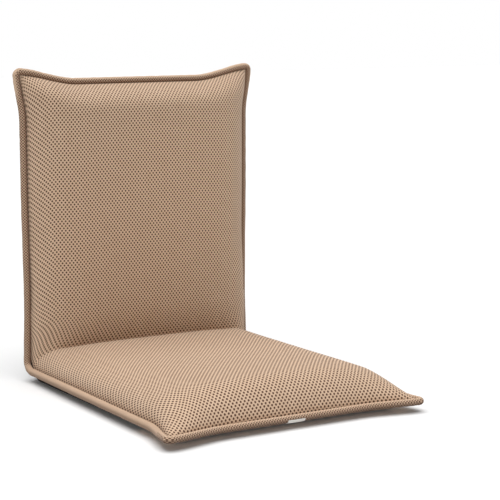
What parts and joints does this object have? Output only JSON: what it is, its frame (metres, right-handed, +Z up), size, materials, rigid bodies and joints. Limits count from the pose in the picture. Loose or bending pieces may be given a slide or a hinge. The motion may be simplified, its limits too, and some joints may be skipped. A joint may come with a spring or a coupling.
{
  "type": "folding floor chair",
  "caption": "Legless padded floor chair in tan spacer mesh, its seat and back joined by ratchet hinges so that the back folds from flat, through upright, towards the seat.",
  "frame": {"origin": "on the floor under the middle of the whole chair, with the back upright", "axes": "+Z up, -Y towards the seat's front edge, +Y towards the back, +X across the seat"},
  "size_m": [0.5314, 0.6266, 0.6058],
  "materials": {
    "mesh_fabric": "tan spacer mesh with staggered dark holes",
    "roll_fabric": "same mesh, stretched over a soft round edge",
    "zip_tape": "woven tan zip tape",
    "label_tape": "plain white woven tape",
    "elastic_webbing": "black elastic webbing",
    "felt": "pressed grey felt",
    "foam": "open-cell polyurethane foam",
    "nonslip_sheet": "matt black non-slip sheet",
    "frame_steel": "black powder coat",
    "zinc_steel": "zinc plated",
    "spring_steel": "blued spring steel",
    "zip_metal": "satin nickel",
    "black_plastic": "moulded black plastic"
  },
  "bodies": {
    "seat": {"seat_frame": "frame_steel", "seat_cross_tube": "frame_steel", "seat_tube_plugs": "black_plastic", "seat_straps": "elastic_webbing", "seat_core": "foam", "seat_foam": "foam", "seat_top_cover": "mesh_fabric", "seat_board": "felt", "seat_under_cover": "mesh_fabric", "nonslip_base": "nonslip_sheet", "seat_edge_roll": "roll_fabric", "label_tab": "label_tape", "seat_hinge_arm_left": "zinc_steel", "seat_hinge_arm_right": "zinc_steel", "seat_arm_spacers": "zinc_steel", "seat_arm_rivets": "zinc_steel"},
    "back": {"back_frame": "frame_steel", "back_cross_tube": "frame_steel", "back_tube_plugs": "black_plastic", "back_straps": "elastic_webbing", "back_core": "foam", "back_foam": "foam", "back_front_cover": "mesh_fabric", "back_board": "felt", "back_rear_cover": "mesh_fabric", "back_edge_roll": "roll_fabric", "cheek_inner_left": "zinc_steel", "cheek_inner_right": "zinc_steel", "cheek_outer_left": "zinc_steel", "cheek_outer_right": "zinc_steel", "cheek_spacers": "zinc_steel", "back_arm_rivets": "zinc_steel", "hinge_axle_left": "zinc_steel", "hinge_axle_right": "zinc_steel", "pawl_pin_left": "zinc_steel", "pawl_pin_right": "zinc_steel", "pawl_spring_left": "spring_steel", "pawl_spring_right": "spring_steel", "zip_tape": "zip_tape", "fold_foam": "foam", "fold_cover": "mesh_fabric", "fold_rear_cover": "mesh_fabric", "fold_roll_left": "roll_fabric", "fold_roll_right": "roll_fabric"},
    "pawl_left": {"pawl_left": "zinc_steel"},
    "pawl_right": {"pawl_right": "zinc_steel"},
    "zip_slider": {"zip_slider": "zip_metal"},
    "zip_pull": {"zip_pull": "zip_metal"}
  },
  "joints": [
    {"name": "back_fold", "type": "hinge", "parent": "seat", "child": "back", "pos_m": [0, 0.26375, 0.05], "axis": [1, 0, 0], "range_deg": [-90, 45], "deforming": ["fold_foam", "fold_cover", "fold_rear_cover", "fold_roll_left", "fold_roll_right"]},
    {"name": "pawl_left_drop", "type": "hinge", "parent": "back", "child": "pawl_left", "pos_m": [-0.186, 0.27975, 0.072], "axis": [1, 0, 0], "range_deg": [0, 7.5]},
    {"name": "pawl_right_drop", "type": "hinge", "parent": "back", "child": "pawl_right", "pos_m": [0.186, 0.27975, 0.072], "axis": [1, 0, 0], "range_deg": [0, 7.5]},
    {"name": "zip_slide", "type": "slide", "parent": "back", "child": "zip_slider", "axis": [1, 0, 0], "range_m": [-0.404, 0]},
    {"name": "zip_pull_swing", "type": "hinge", "parent": "zip_slider", "child": "zip_pull", "pos_m": [0.202, 0.31305, 0.101], "axis": [1, 0, 0], "range_deg": [0, 150]}
  ]
}
